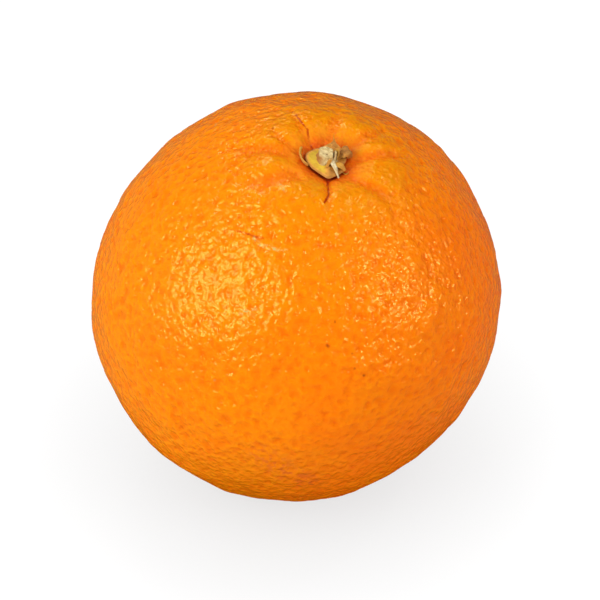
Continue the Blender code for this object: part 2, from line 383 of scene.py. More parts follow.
@dataclass
class Fruit:
    """The fruit: one ball of peel with all its relief, in axes whose +Z is the stem."""

    side_count: int = 128
    centre: tuple[float, float, float] = (0.0921 * MM, -0.1785 * MM, 38.75 * MM)
    mean_radius: float = 39.8 * MM
    flattening: float = 0.02
    slant_swell: float = 0.037
    longest_line: tuple[float, float, float] = (0.49, 0.58, 0.65)
    lump_count: int = 7
    lump_height: float = 0.09 * MM
    lump_waves: float = 3.2
    lump_seed: int = 11
    lean: float = math.radians(10.5)
    lean_towards: float = math.radians(-32)
    flat_depth: float = 38.75 * MM
    sink_depth: float = 2.6 * MM
    sink_radius: float = 7.4 * MM
    sink_power: float = 3.0
    collar_height: float = 0.6 * MM
    collar_radius: float = 12.0 * MM
    collar_width: float = 5.0 * MM
    crowding: float = 0.5
    crowded_angle: float = 0.45
    pit_count: int = 4800
    pit_radius: float = 1.2 * MM
    pit_depth: float = 0.22 * MM
    pit_jitter: float = 0.6 * MM
    pit_seed: int = 5
    least_pitted: float = 0.12
    pitted_range: Pair = (8.0 * MM, 19.0 * MM)
    blossom_depth: float = 0.5 * MM
    blossom_range: Pair = (3.6 * MM, 0.4 * MM)
    deep_furrow: float = 1.2 * MM
    lobe_start: Pair = (5.0 * MM, 7.0 * MM)
    lobe_end: Pair = (21.0 * MM, 11.0 * MM)
    # Where the rind is painted deeper red round the stem, partly its own tone and partly shade in the dimple.
    red_and_shade_ring: Pair = (7.9 * MM, 4.6 * MM)
    dull_ring: Pair = (10.0 * MM, 7.5 * MM)
    # Painted shadow on the peel just outside the calyx's rim, on its front-left side.
    gap_shadow_range: Pair = (0.7 * MM, 0.15 * MM)
    gap_shadow_towards: float = math.radians(-118)
    ripples: tuple[tuple[float, float, int], ...] = (
        (8.0 * MM, 0.26 * MM, 21),
        (4.6 * MM, 0.22 * MM, 23),
        (2.9 * MM, 0.09 * MM, 22),
    )
    furrows: tuple[Furrow, ...] = (
        Furrow(5.2, 14.5, -87, -90, 0.6, 1.0),
        Furrow(5.0, 15.0, 165, 145, 0.55, 1.2),
        Furrow(4.6, 16.5, 130, 116, 0.5, 1.0),
        Furrow(6.0, 23.0, 178, 166, 0.85, 1.7),
        Furrow(6.0, 21.0, -138, -161, 0.8, 2.0),
        Furrow(4.8, 19.0, 9, 21, 0.85, 1.2),
        Furrow(4.8, 19.0, -41, -29, 0.75, 1.6),
        Furrow(5.0, 18.0, 42, 44, 0.7, 1.5),
        Furrow(5.0, 16.0, 84, 80, 0.6, 1.4),
    )
    creases: tuple[Crease, ...] = (
        Crease(((5.2, -86), (7.0, -87.5), (8.5, -88), (9.7, -88.5), (11.6, -92)), 0.34, 0.3, 1.0),
        Crease(((5.6, 163), (8.0, 154), (10.8, 150), (12.9, 146)), 0.2, 0.3, 0.4),
        Crease(((4.3, 131), (6.2, 124), (8.5, 118), (10.2, 119), (12.8, 118)), 0.25, 0.28, 0.8),
    )

    def body_radius(self, directions: Array) -> Array:
        """Distance to the plain body.

        Args:
            directions: Rows of unit vectors.

        Returns:
            The mean radius, less towards both ends, more along one slanted line, plus low waves.
        """
        longest = unit(np.array(self.longest_line))
        flattened = self.flattening * (directions[:, 2] ** 2 - 1.0 / 3.0)
        swollen = self.slant_swell * ((directions @ longest) ** 2 - 1.0 / 3.0)
        rng = np.random.default_rng(self.lump_seed)
        waves = rng.normal(size=(self.lump_count, 3)) * self.lump_waves
        phases = rng.uniform(0.0, 2.0 * math.pi, self.lump_count)
        lumps = self.lump_height * np.sin(directions @ waves.T + phases).sum(axis=1)
        return self.mean_radius * (1.0 - flattened + swollen) + lumps

    def sunken_end(self, arc: Array) -> Array:
        """Height of the collar round the stem less the depth of the dimple inside it."""
        sink = self.sink_depth * np.exp(-((arc / self.sink_radius) ** self.sink_power))
        ring = (arc - self.collar_radius) / self.collar_width
        return self.collar_height * np.exp(-(ring**2)) - sink

    def around(self, directions: Array) -> tuple[Array, Array]:
        """Distance along the peel from the stem, and direction round it in radians."""
        arc = self.mean_radius * np.arccos(np.clip(directions[:, 2], -1.0, 1.0))
        return arc, np.arctan2(directions[:, 1], directions[:, 0])

    def furrowed(self, arc: Array, azimuth: Array) -> Array:
        """How deep all the furrows cut together."""
        return sum(furrow.cut(arc, azimuth) for furrow in self.furrows)

    def smooth_radius(self, directions: Array) -> Array:
        """Distance to the peel without pits, ripples and creases."""
        arc, azimuth = self.around(directions)
        return self.body_radius(directions) + self.sunken_end(arc) - self.furrowed(arc, azimuth)

    def floor_height(self, right: Array, back: Array) -> Array:
        """Height of the dimple's floor above the fruit's centre, beside the stem's axis."""
        upwards = np.full_like(right, self.mean_radius - self.sink_depth)
        directions = unit(np.stack([right, back, upwards], axis=-1).reshape(-1, 3))
        arc, _ = self.around(directions)
        height = (self.body_radius(directions) + self.sunken_end(arc)) * directions[:, 2]
        return height.reshape(right.shape)

    def placed(self, points: Array) -> Array:
        """Points in the stem's axes, leant over and set down where the fruit lies."""
        axis = Vector((-math.sin(self.lean_towards), math.cos(self.lean_towards), 0.0))
        turn = np.array(Matrix.Rotation(self.lean, 3, axis))
        return points @ turn.T + np.array(self.centre)

    def on_peel(self, arc: float, azimuth: float, below: float = 0.0) -> Array:
        """The place in the world on or below the smooth peel.

        Args:
            arc: Millimetres along the peel from the stem.
            azimuth: Degrees round the stem.
            below: How deep under the smooth peel, in metres.

        Returns:
            The place.
        """
        polar = arc * MM / self.mean_radius
        turn = math.radians(azimuth)
        aside = math.sin(polar)
        direction = np.array([[aside * math.cos(turn), aside * math.sin(turn), math.cos(polar)]])
        return self.placed(direction * (self.smooth_radius(direction) - below)[:, None])[0]

    def crowded(self, directions: Array) -> Array:
        """Directions drawn towards the stem, where the relief is finest.

        Args:
            directions: Rows of unit vectors.

        Returns:
            The directions with the angle a from the stem lessened by a multiple of erf(a / width), and
            stretched again so that the far end stays where it is.
        """
        polar = np.arccos(np.clip(directions[:, 2], -1.0, 1.0))
        pull = self.crowding * self.crowded_angle * math.sqrt(math.pi) / 2.0
        erf = np.vectorize(math.erf)
        drawn = (polar - pull * erf(polar / self.crowded_angle)) * math.pi / (math.pi - pull)
        side = np.sin(drawn) / np.maximum(np.hypot(directions[:, 0], directions[:, 1]), 1e-9)
        return np.stack([directions[:, 0] * side, directions[:, 1] * side, np.cos(drawn)], axis=1)

    def pits(self, directions: Array) -> Array:
        """How deep the pits are, as a share of a full one.

        Pit centres lie on an even spiral round the ball, each moved by a seeded step. Round each is a bowl
        (1 - t^2)^2 of its own width and depth, where t is the distance over the bowl's radius, and bowls
        that overlap add up.

        Args:
            directions: Rows of unit vectors.

        Returns:
            One depth for each direction.
        """
        rng = np.random.default_rng(self.pit_seed)
        step = np.arange(self.pit_count) + 0.5
        height = 1.0 - 2.0 * step / self.pit_count
        turn = step * math.pi * (3.0 - math.sqrt(5.0))
        ring = np.sqrt(1.0 - height**2)
        even = np.stack([ring * np.cos(turn), ring * np.sin(turn), height], axis=1)
        moved = rng.normal(size=even.shape) * self.pit_jitter / self.mean_radius
        centres = unit(even + moved).astype(np.float32)
        size = rng.uniform(0.6, 1.15, self.pit_count)
        depth = size * rng.uniform(0.5, 1.3, self.pit_count)
        reach = self.pit_radius / self.mean_radius * size
        limit = math.cos(float(reach.max()))
        total = np.zeros(len(directions))
        for start in range(0, len(directions), 8192):
            near = directions[start : start + 8192].astype(np.float32) @ centres.T
            rows, columns = np.nonzero(near > limit)
            apart = np.sqrt(np.maximum(2.0 - 2.0 * near[rows, columns].astype(float), 0.0))
            t = np.minimum(apart / reach[columns], 1.0)
            bowls = depth[columns] * (1.0 - t * t) ** 2
            total[start : start + len(near)] = np.bincount(rows, bowls, len(near))
        return total

    def flattened_underside(self, points: Array) -> Array:
        """What is lower than the flat spot, drawn up to it, straight towards the fruit's centre."""
        depth = self.centre[2] - self.placed(points)[:, 2]
        shrink = np.where(depth > self.flat_depth, self.flat_depth / np.maximum(depth, MM), 1.0)
        return points * shrink[:, None]

    def skin(self) -> Skin:
        """The peel with all its relief.

        Returns:
            A ball crowded towards the stem. Its radius is the smooth one, less creases and pits, plus
            ripples of random noise, and pits and ripples fade on the smooth lobes round the stem.
        """
        directions, faces = cube_ball(self.side_count)
        directions = self.crowded(directions)
        arc, azimuth = self.around(directions)
        furrowed = self.furrowed(arc, azimuth)
        folded = np.max([crease.cut(arc, azimuth) for crease in self.creases], axis=0)
        pits = self.pits(directions)
        pitted = self.least_pitted + (1.0 - self.least_pitted) * eased(*self.pitted_range, arc)
        noise = sum(
            height * value_noise(directions * self.mean_radius, cell, seed)
            for cell, height, seed in self.ripples
        )
        blossom = self.blossom_depth * eased(*self.blossom_range, math.pi * self.mean_radius - arc)
        radius = self.body_radius(directions) + self.sunken_end(arc) - furrowed - folded
        radius += noise * (0.4 + 0.6 * pitted) - self.pit_depth * pits * pitted - blossom
        points = self.placed(self.flattened_underside(directions * radius[:, None]))
        deep = np.clip(furrowed / self.deep_furrow, 0.0, 1.0)
        shadow_side = eased(0.0, 0.6, np.cos(azimuth - self.gap_shadow_towards))
        values = {
            Marking.PIT: np.clip(pits * pitted, 0.0, 1.0),
            # How deep the furrows cut, which the rind reads to paint shade in them.
            Marking.FURROW_SHADE: deep,
            Marking.LOBE: (1.0 - deep) * eased(*self.lobe_start, arc) * eased(*self.lobe_end, arc),
            # The ring round the stem that the rind paints deeper red, partly as shade in the dimple.
            Marking.COLLAR: eased(*self.red_and_shade_ring, arc),
            Marking.DULL: np.maximum(eased(*self.dull_ring, arc), 0.7 * deep),
            # Painted shadow just outside the calyx's rim, strongest on its front-left side.
            Marking.GAP_SHADOW: shadow_side * eased(*self.gap_shadow_range, arc - calyx_reach(azimuth)),
        }
        return Skin(points, faces, values).outwards()


def wrapped_skin(fruit: Fruit, rings: Array, values: dict[Marking, Array]) -> Skin:
    """The closed skin of a piece that stands on the fruit.

    Args:
        fruit: The fruit.
        rings: Rings of points in the stem's axes. The first and the last close in a point.
        values: A value for each point of the rings, or for each ring.

    Returns:
        The skin, where the fruit lies.
    """
    grids = [np.broadcast_to(value, rings.shape[:2]) for value in values.values()]
    columns = wrapped_points(np.stack(grids, axis=-1)).T
    faces = wrapped_faces(len(rings) - 2, rings.shape[1])
    return Skin(fruit.placed(wrapped_points(rings)), faces, dict(zip(values, columns))).outwards()


@dataclass(frozen=True)
class Strip:
    """A thin leaf, flake or fibre: a lens-shaped cross-section carried along a bent line.

    Places are millimetres in the stem's axes: right, back, and up from 37.5 mm above the fruit's centre.
    """

    name: str
    line: tuple[tuple[float, float, float], ...]
    across: tuple[float, float, float]
    half_width: float
    half_thickness: float
    foot_share: float = 0.8
    widest_at: float = 0.3
    tip_share: float = 0.1
    cup: float = 0.0
    ripple: float = 0.0
    dry: tuple[float, float] = (0.3, 1.0)
    seed: int = 1
    rows: int = 36
    columns: int = 24

    def skin(self, fruit: Fruit, lifted: float) -> Skin:
        """The strip's surface.

        At a share s of the way along and an angle a round the section, the point lies off the line by
        width(s) cos a sideways and by thickness(s) sin a + cup cos^2 a along the face's normal, and a
        little noise wrinkles it.

        Args:
            fruit: The fruit that it stands on.
            lifted: Height of the strip's zero above the fruit's centre.

        Returns:
            The closed skin, with shares along and across it.
        """
        middle = curve_through(np.array(self.line), self.rows)
        share = np.linspace(0.0, 1.0, self.rows)
        tangent = unit(np.gradient(middle, axis=0))
        side = unit(np.array(self.across) - (tangent @ np.array(self.across))[:, None] * tangent)
        normal = np.cross(side, tangent)
        width = self.foot_share + (1.0 - self.foot_share) * eased(0.0, self.widest_at, share)
        width *= 1.0 - (1.0 - self.tip_share) * eased(self.widest_at, 1.0, share)
        turn = np.linspace(0.0, 2.0 * math.pi, self.columns, endpoint=False)
        sideways = self.half_width * width[:, None] * np.cos(turn)
        up = self.half_thickness * (1.0 - 0.4 * share[:, None]) * np.sin(turn)
        up = up + self.cup * width[:, None] * np.cos(turn) ** 2
        rings = middle[:, None] + sideways[..., None] * side[:, None] + up[..., None] * normal[:, None]
        if self.ripple:
            spots = np.stack(np.broadcast_arrays(np.cos(turn) * 1.3, share[:, None] * 4.0, 0.0), axis=-1)
            wrinkle = value_noise(spots.reshape(-1, 3), 0.9, self.seed).reshape(self.rows, -1)
            rings += self.ripple * wrinkle[..., None] * normal[:, None]
        rings[0] = rings[0].mean(axis=0)
        rings[-1] = rings[-1].mean(axis=0)
        values = {
            Marking.ALONG: share[:, None],
            Marking.ACROSS: np.cos(turn),
            Marking.DRY: self.dry[0] + (self.dry[1] - self.dry[0]) * share[:, None],
        }
        return wrapped_skin(fruit, rings * MM + np.array([0.0, 0.0, lifted]), values)


@dataclass
class Calyx:
    """The dried calyx: a fleshy disc in the dimple, and the sepals and flakes that stand up from it."""

    fruit: Fruit
    zero: float = 37.5 * MM
    rows: int = 44
    columns: int = 128
    centre_thickness: float = 1.1 * MM
    rim_thickness: float = 0.42 * MM
    rim_lift: float = 0.3 * MM
    strips: tuple[Strip, ...] = (
        Strip(
            "sepal_left",
            ((-4.9, 2.9, 0.3), (-5.2, 1.4, 0.45), (-5.1, 0.1, 0.45), (-4.6, -1.1, 0.4), (-3.55, -2.15, 0.45)),
            (-0.35, 0.0, 1.0), 0.55, 0.26, 0.15, 0.5, 0.6, 0.05, 0.08, (0.25, 0.45), 3,
        ),
        Strip(
            "sepal_back",
            ((0.9, 1.4, 0.4), (0.95, 2.4, 0.95), (1.0, 3.3, 1.4), (1.05, 4.25, 2.0)),
            (1.0, 0.0, 0.0), 2.1, 0.22, 0.85, 0.2, 0.03, 0.3, 0.34, (0.5, 0.85), 4,
        ),
        Strip(
            "sepal_right",
            ((1.7, 1.2, 0.5), (2.5, 1.5, 1.25), (3.4, 1.6, 1.6), (4.15, 1.4, 1.3), (4.4, 1.2, 0.6)),
            (0.0, 1.0, 0.1), 1.45, 0.2, 0.7, 0.45, 0.5, 0.45, 0.6, (0.8, 1.0), 6,
        ),
        Strip(
            "sepal_front_right",
            ((1.5, -1.0, 0.5), (2.1, -1.6, 0.85), (2.8, -2.1, 0.85), (3.4, -2.5, 0.4)),
            (0.55, 0.83, 0.0), 0.75, 0.3, 0.7, 0.45, 0.45, -0.1, 0.15, (0.3, 0.5), 7,
        ),
        Strip(
            "flake_right",
            ((3.0, -2.4, -0.1), (3.5, -2.9, -0.05), (4.0, -2.7, 0.1), (4.1, -2.3, 0.3)),
            (0.1, 0.1, 1.0), 0.2, 0.08, 0.8, 0.4, 0.3, 0.0, 0.0, (0.1, 0.2), 8, 20, 12,
        ),
        Strip(
            "hair_back",
            ((1.0, 3.9, 1.75), (0.95, 4.6, 2.3), (0.95, 5.1, 2.75)),
            (1.0, 0.0, 0.0), 0.07, 0.06, 1.0, 0.3, 0.3, 0.0, 0.0, (0.1, 0.1), 9, 12, 8,
        ),
        Strip(
            "hair_right",
            ((3.35, 2.1, 1.4), (3.45, 2.6, 1.9), (3.45, 2.75, 2.3)),
            (1.0, 0.0, 0.0), 0.08, 0.07, 1.0, 0.3, 0.3, 0.0, 0.0, (0.1, 0.1), 10, 12, 8,
        ),
    )

    def disc(self) -> Skin:
        """The fleshy disc.

        At a height angle b on a ball and an azimuth, the point lies at cos(b)^0.7 of the way to the
        outline, and as high as the dimple's floor, plus a lift at the rim, plus its share of the thickness,
        which lessens from the middle to the rim.

        Returns:
            The closed skin, dry where the sepals stand, fleshy at the left and the front left, and marked for
            painted shade on its underside.
        """
        azimuth = np.linspace(-math.pi, math.pi, self.columns, endpoint=False)
        rim = calyx_reach(azimuth)
        kernel = np.exp(-(np.linspace(-1.4, 1.4, 5) ** 2))
        rim = np.convolve(np.tile(rim, 3), kernel / kernel.sum(), "same")[self.columns : -self.columns]
        height = np.linspace(-math.pi / 2.0, math.pi / 2.0, self.rows)[:, None]
        share = np.cos(height).clip(0.0, 1.0) ** 0.7
        out = share * rim
        right, back = out * np.cos(azimuth), out * np.sin(azimuth)
        across = 0.5 + 0.5 * np.sign(height) * np.abs(np.sin(height)) ** 0.5
        thickness = self.rim_thickness + (self.centre_thickness - self.rim_thickness) * (1.0 - share**2)
        spots = np.stack([right, back, 0.4 * MM * across + 0.0 * right], axis=-1).reshape(-1, 3)
        wrinkle = value_noise(spots, 1.3 * MM, 31) * 0.10 * MM + value_noise(spots, 0.5 * MM, 32) * 0.04 * MM
        lift = 0.06 * MM + self.rim_lift * eased(0.6, 1.0, share)
        up = self.fruit.floor_height(right, back) + lift + thickness * across
        up = up + wrinkle.reshape(up.shape) * across
        fleshy = eased(-0.15, 0.65, np.cos(azimuth - math.radians(-165.0))) * eased(1.0, 0.8, share)
        # The underside of the disc is marked for painted shade.
        values = {Marking.DRY: 1.0 - fleshy, Marking.HOLLOW_SHADE: eased(0.45, 0.1, across)}
        return wrapped_skin(self.fruit, np.stack([right, back, up], axis=-1), values)

    def build(self, husk: bpy.types.Material) -> list[bpy.types.Object]:
        """Make the disc and everything that stands up from it."""
        made = [self.disc().made("calyx_disc", husk)]
        made += [strip.skin(self.fruit, self.zero).made(strip.name, husk) for strip in self.strips]
        return made


@dataclass
class StemEnd:
    """The short corky end of the broken stem, and the fibres that tore as it broke."""

    fruit: Fruit
    zero: float = 37.5 * MM
    rows: int = 70
    columns: int = 96
    middle: tuple[float, float] = (-0.2 * MM, 0.12 * MM)
    half_width: float = 1.7 * MM
    half_depth: float = 1.45 * MM
    foot: float = 0.1 * MM
    top: float = 2.2 * MM
    cap: float = 0.45
    slit_right: float = 1.0 * MM
    slit_half_width: float = 0.13 * MM
    slit_depth: float = 0.9 * MM
    fibres: tuple[Strip, ...] = (
        Strip(
            "torn_fibre_front",
            ((0.85, -0.9, 1.0), (1.1, -1.8, 1.15), (1.6, -3.3, 1.0), (2.2, -4.8, 0.5)),
            (1.0, 0.3, 0.0), 0.54, 0.18, 1.0, 0.1, 0.3, 0.1, 0.08, (0.0, 0.1), 12,
        ),
        Strip(
            "torn_fibre_side",
            ((1.0, -0.9, 0.9), (1.5, -1.9, 1.05), (1.85, -2.9, 0.9), (1.95, -3.9, 0.5)),
            (1.0, 0.2, 0.2), 0.17, 0.13, 1.0, 0.1, 0.3, 0.0, 0.04, (0.2, 0.3), 13, 24, 14,
        ),
    )
    lips: tuple[Strip, ...] = (
        Strip(
            "front_ridge",
            ((0.5, -0.2, 1.75), (0.38, -1.0, 1.45), (0.1, -1.65, 0.95), (-0.15, -2.3, 0.35)),
            (1.0, 0.1, 0.0), 0.36, 0.3, 0.8, 0.4, 0.5, -0.1, 0.15, (0.35, 0.55), 14,
        ),
        Strip(
            "slit_lip",
            ((1.6, 1.9, 1.3), (1.8, 1.2, 1.95), (1.85, 0.4, 1.7), (1.75, -0.4, 0.9)),
            (0.3, 0.1, 1.0), 0.42, 0.15, 0.8, 0.5, 0.5, 0.05, 0.1, (0.3, 0.4), 15,
        ),
    )

    def stub(self) -> Skin:
        """The corky stub.

        A ball squeezed into an upright column: points on its sides keep the full width, flared towards the
        foot, and points on its cap lie on a rough broken face with a pit, a slit and an uneven rim.

        Returns:
            The closed skin, with how hollow each place is, for painted shade in the slit and the pit, and how
            brown its sides are, most on the left.
        """
        azimuth = np.linspace(-math.pi, math.pi, self.columns, endpoint=False)
        height = np.linspace(-1.0, 1.0, self.rows)[:, None]
        up = np.clip((height / self.cap + 1.0) / 2.0, 0.0, 1.0)
        ring = np.clip((1.0 - np.abs(height)) / (1.0 - self.cap), 0.0, 1.0) ** 0.8
        flare = 1.0 + 0.35 * (1.0 - up) ** 2 - 0.06 * up
        lobed = 1.0 + 0.05 * np.sin(3.0 * azimuth + 0.8) + 0.035 * np.sin(7.0 * azimuth + 2.0)
        right = self.middle[0] + self.half_width * ring * flare * lobed * np.cos(azimuth)
        back = self.middle[1] + self.half_depth * ring * flare * lobed * np.sin(azimuth)
        spots = np.stack([right, back, 1.5 * MM * up + 0.0 * right], axis=-1)
        coarse = value_noise(spots.reshape(-1, 3), 0.7 * MM, 41).reshape(right.shape)
        fine = value_noise(spots.reshape(-1, 3), 0.28 * MM, 42).reshape(right.shape)
        slit = np.exp(-(((right - self.slit_right) / self.slit_half_width) ** 2)) * up**2
        hole = np.exp(-(np.hypot(right + 0.3 * MM, back + 0.25 * MM) / (0.2 * MM)) ** 2) * up**4
        uneven = 0.16 * MM * np.sin(azimuth + 0.9) + 0.1 * MM * np.sin(3.0 * azimuth + 1.9)
        broken = uneven * ring + 0.12 * MM * coarse + 0.06 * MM * fine
        tall = self.foot + (self.top + broken - self.foot) * up
        tall = tall - self.slit_depth * slit - 0.35 * MM * hole
        bulge = 1.0 + (0.06 * coarse + 0.03 * fine) * (ring > 0.98)
        right = self.middle[0] + (right - self.middle[0]) * bulge
        back = self.middle[1] + (back - self.middle[1]) * bulge
        # Browner on the stub's sides, most on its left; its broken top stays pale.
        browned_side = eased(0.97, 0.6, up) * eased(0.1, 0.9, np.cos(azimuth - math.radians(180.0)))
        # The slit and the pit are marked for painted shade.
        values = {Marking.HOLLOW_SHADE: np.clip(slit + hole, 0.0, 1.0), Marking.DRY: browned_side}
        return wrapped_skin(self.fruit, np.stack([right, back, tall + self.zero], axis=-1), values)

    def build(
        self, cork: bpy.types.Material, fibre: bpy.types.Material, husk: bpy.types.Material
    ) -> list[bpy.types.Object]:
        """Make the stub in cork, the torn fibres, and the lips of the split in husk."""
        made = [self.stub().made("stem_stub_cork", cork)]
        for strips, finish in ((self.fibres, fibre), (self.lips, husk)):
            made += [strip.skin(self.fruit, self.zero).made(strip.name, finish) for strip in strips]
        return made


class Wiring:
    """Adds nodes to one node tree and joins them up."""

    def __init__(self, tree: bpy.types.NodeTree) -> None:
        """Start on a tree."""
        self.tree = tree

    def feed(self, target: Socket, value: object) -> None:
        """Join a socket to another, or set it to a plain value."""
        if isinstance(value, bpy.types.NodeSocket):
            self.tree.links.new(value, target)
        elif value is not None:
            target.default_value = value

    def node(self, kind: str, *values: object, **settings: object) -> bpy.types.Node:
        """A new node with its settings, and values or sockets for its first inputs."""
        made = self.tree.nodes.new(kind)
        for name, value in settings.items():
            setattr(made, name, value)
        for target, value in zip(made.inputs, values):
            self.feed(target, value)
        return made

    def texture(self, kind: str, given: bpy.types.NodeOutputs, *names: str) -> bpy.types.Node:
        """A texture whose named inputs are fed from a group's inputs of the same names."""
        made = self.node(kind)
        for name in names:
            self.feed(made.inputs[name], given[name])
        return made

    def maths(self, operation: str, first: object, second: object = None, clamp: bool = False) -> Socket:
        """One arithmetic step on one or two numbers."""
        return self.node("ShaderNodeMath", first, second, operation=operation, use_clamp=clamp).outputs[0]

    def times(self, first: object, second: object) -> Socket:
        """Two numbers multiplied."""
        return self.maths("MULTIPLY", first, second)

    def vectors(self, operation: str, first: object, second: object = None) -> bpy.types.Node:
        """One arithmetic step on vectors; its node has both a Vector and a Value output."""
        return self.node("ShaderNodeVectorMath", first, second, operation=operation)

    def scaled(self, vector: object, scale: object) -> Socket:
        """A vector made longer or shorter."""
        made = self.vectors("SCALE", vector)
        self.feed(made.inputs["Scale"], scale)
        return made.outputs[0]

    def spread(self, value: object, low: object, high: object, *ends: float) -> Socket:
        """An S-curve that takes low to the first of the ends and high to the second, or to 0 and 1."""
        made = self.node("ShaderNodeMapRange", value, low, high, *ends, interpolation_type="SMOOTHSTEP")
        return made.outputs[0]

    def blend(self, share: object, first: object, second: object) -> Socket:
        """Two colours mixed by a share of the second."""
        made = self.node("ShaderNodeMix", share, data_type="RGBA")
        for index, item in ((6, first), (7, second)):
            self.feed(made.inputs[index], (*item, 1.0) if isinstance(item, tuple) else item)
        return made.outputs[2]

    def coated(self, colour: Socket, mask: object, tint: "Tint") -> Socket:
        """A colour with a tint laid over it where the mask is."""
        return self.blend(self.times(mask, tint.share), colour, tint.colour)

    def marking(self, marking: Marking) -> Socket:
        """A value that the piece carries at its points."""
        made = self.node("ShaderNodeAttribute", attribute_type="GEOMETRY", attribute_name=marking.value)
        return made.outputs["Fac"]

    def effect(self, effect: Effect, **values: object) -> Socket:
        """A shared group with its own values, by the names of its inputs; gives its only output."""
        made = self.node("ShaderNodeGroup", node_tree=effect_tree(effect))
        for name, value in values.items():
            self.feed(made.inputs[name], value)
        return made.outputs[0]

    def mottled(self, place: Socket, mottle: "Mottle") -> Socket:
        """Soft uneven patches."""
        return self.effect(
            Effect.MOTTLE, Vector=place, Scale=mottle.scale, Detail=mottle.detail,
            Low=mottle.low, High=mottle.high,
        )

    def streaked(self, scale: float, stretch: float) -> Socket:
        """Fibres that follow the piece."""
        across, along = self.marking(Marking.ACROSS), self.marking(Marking.ALONG)
        return self.effect(Effect.STREAKS, Across=across, Along=along, Scale=scale, Stretch=stretch)

    def bump(self, height: Socket, distance: float, strength: float, before: Socket | None = None) -> Socket:
        """A normal bent by a height, on top of another normal."""
        made = self.node("ShaderNodeBump")
        made.inputs["Strength"].default_value = strength
        made.inputs["Distance"].default_value = distance
        self.feed(made.inputs["Height"], height)
        self.feed(made.inputs["Normal"], before)
        return made.outputs["Normal"]


@dataclass(frozen=True)
class Tint:
    """A colour, and the share of it that shows where its mask is full."""

    colour: Colour
    share: float = 1.0


@dataclass(frozen=True)
class Mottle:
    """Soft patches: how fine, how layered, and the noise values where they start and are full."""

    scale: float
    detail: float
    low: float
    high: float


def mottle_mask(wiring: Wiring, given: bpy.types.NodeOutputs) -> Socket:
    """Soft uneven patches: layered noise, spread from Low to High."""
    noise = wiring.texture("ShaderNodeTexNoise", given, "Vector", "Scale", "Detail")
    return wiring.spread(noise.outputs[0], given["Low"], given["High"])


def pore_mask(wiring: Wiring, given: bpy.types.NodeOutputs) -> Socket:
    """Small pits: 0 in the middle of each scattered cell, rising to 1 towards its edges."""
    cells = wiring.texture("ShaderNodeTexVoronoi", given, "Vector", "Scale")
    return wiring.spread(cells.outputs["Distance"], given["Low"], given["High"])


def speckle_mask(wiring: Wiring, given: bpy.types.NodeOutputs) -> Socket:
    """Scattered spots: round the middle of some cells only, those whose random value is under Share."""
    cells = wiring.texture("ShaderNodeTexVoronoi", given, "Vector", "Scale")
    chance = wiring.node("ShaderNodeSeparateColor", cells.outputs["Color"]).outputs[0]
    chosen = wiring.maths("LESS_THAN", chance, given["Share"])
    return wiring.times(wiring.spread(cells.outputs["Distance"], given["Size"], 0.0), chosen)


def crack_mask(wiring: Wiring, given: bpy.types.NodeOutputs) -> Socket:
    """A line between two places: 1 on it, falling to 0 at Width from its nearest place."""
    step = wiring.vectors("SUBTRACT", given["End"], given["Start"]).outputs[0]
    gone = wiring.vectors("SUBTRACT", given["Vector"], given["Start"]).outputs[0]
    ahead = wiring.vectors("DOT_PRODUCT", gone, step).outputs["Value"]
    whole = wiring.vectors("DOT_PRODUCT", step, step).outputs["Value"]
    share = wiring.maths("DIVIDE", ahead, wiring.maths("MAXIMUM", whole, 1e-9), clamp=True)
    apart = wiring.vectors("DISTANCE", gone, wiring.scaled(step, share)).outputs["Value"]
    return wiring.spread(apart, given["Width"], 0.0)


def streak_mask(wiring: Wiring, given: bpy.types.NodeOutputs) -> Socket:
    """Fibres that follow a piece: noise read across it at Scale and along it at Scale / Stretch."""
    across = wiring.times(given["Across"], given["Scale"])
    along = wiring.times(given["Along"], wiring.maths("DIVIDE", given["Scale"], given["Stretch"]))
    noise = wiring.node("ShaderNodeTexNoise")
    wiring.feed(noise.inputs["Vector"], wiring.node("ShaderNodeCombineXYZ", across, along).outputs[0])
    noise.inputs["Scale"].default_value = 1.0
    noise.inputs["Detail"].default_value = 3.0
    return wiring.spread(noise.outputs[0], 0.3, 0.7)


VECTOR_INPUTS = ("Vector", "Start", "End")
EFFECTS: dict[Effect, tuple[Callable[[Wiring, bpy.types.NodeOutputs], Socket], tuple[str, ...]]] = {
    Effect.MOTTLE: (mottle_mask, ("Vector", "Scale", "Detail", "Low", "High")),
    Effect.PORES: (pore_mask, ("Vector", "Scale", "Low", "High")),
    Effect.SPECKLE: (speckle_mask, ("Vector", "Scale", "Size", "Share")),
    Effect.CRACK: (crack_mask, ("Vector", "Start", "End", "Width")),
    Effect.STREAKS: (streak_mask, ("Across", "Along", "Scale", "Stretch")),
}


def effect_tree(effect: Effect) -> bpy.types.NodeTree:
    """The shader group of an effect, made when it is first asked for.

    Args:
        effect: Which effect.

    Returns:
        Its group, with named inputs and one output, a mask from 0 to 1.
    """
    found = bpy.data.node_groups.get(effect.value)
    if found:
        return found
    tree = bpy.data.node_groups.new(effect.value, "ShaderNodeTree")
    mask, names = EFFECTS[effect]
    for name in names:
        kind = "NodeSocketVector" if name in VECTOR_INPUTS else "NodeSocketFloat"
        tree.interface.new_socket(name, in_out="INPUT", socket_type=kind)
    tree.interface.new_socket("Mask", in_out="OUTPUT", socket_type="NodeSocketFloat")
    wiring = Wiring(tree)
    made = mask(wiring, wiring.node("NodeGroupInput").outputs)
    wiring.feed(wiring.node("NodeGroupOutput").inputs[0], made)
    return tree


def started(name: str) -> tuple[bpy.types.Material, Wiring, bpy.types.Node, Socket]:
    """A new material with its shader, and the place that patterns are read at."""
    material = bpy.data.materials.new(name)
    material.use_nodes = True
    wiring = Wiring(material.node_tree)
    shader = material.node_tree.nodes["Principled BSDF"]
    return material, wiring, shader, wiring.node("ShaderNodeTexCoord").outputs["Object"]


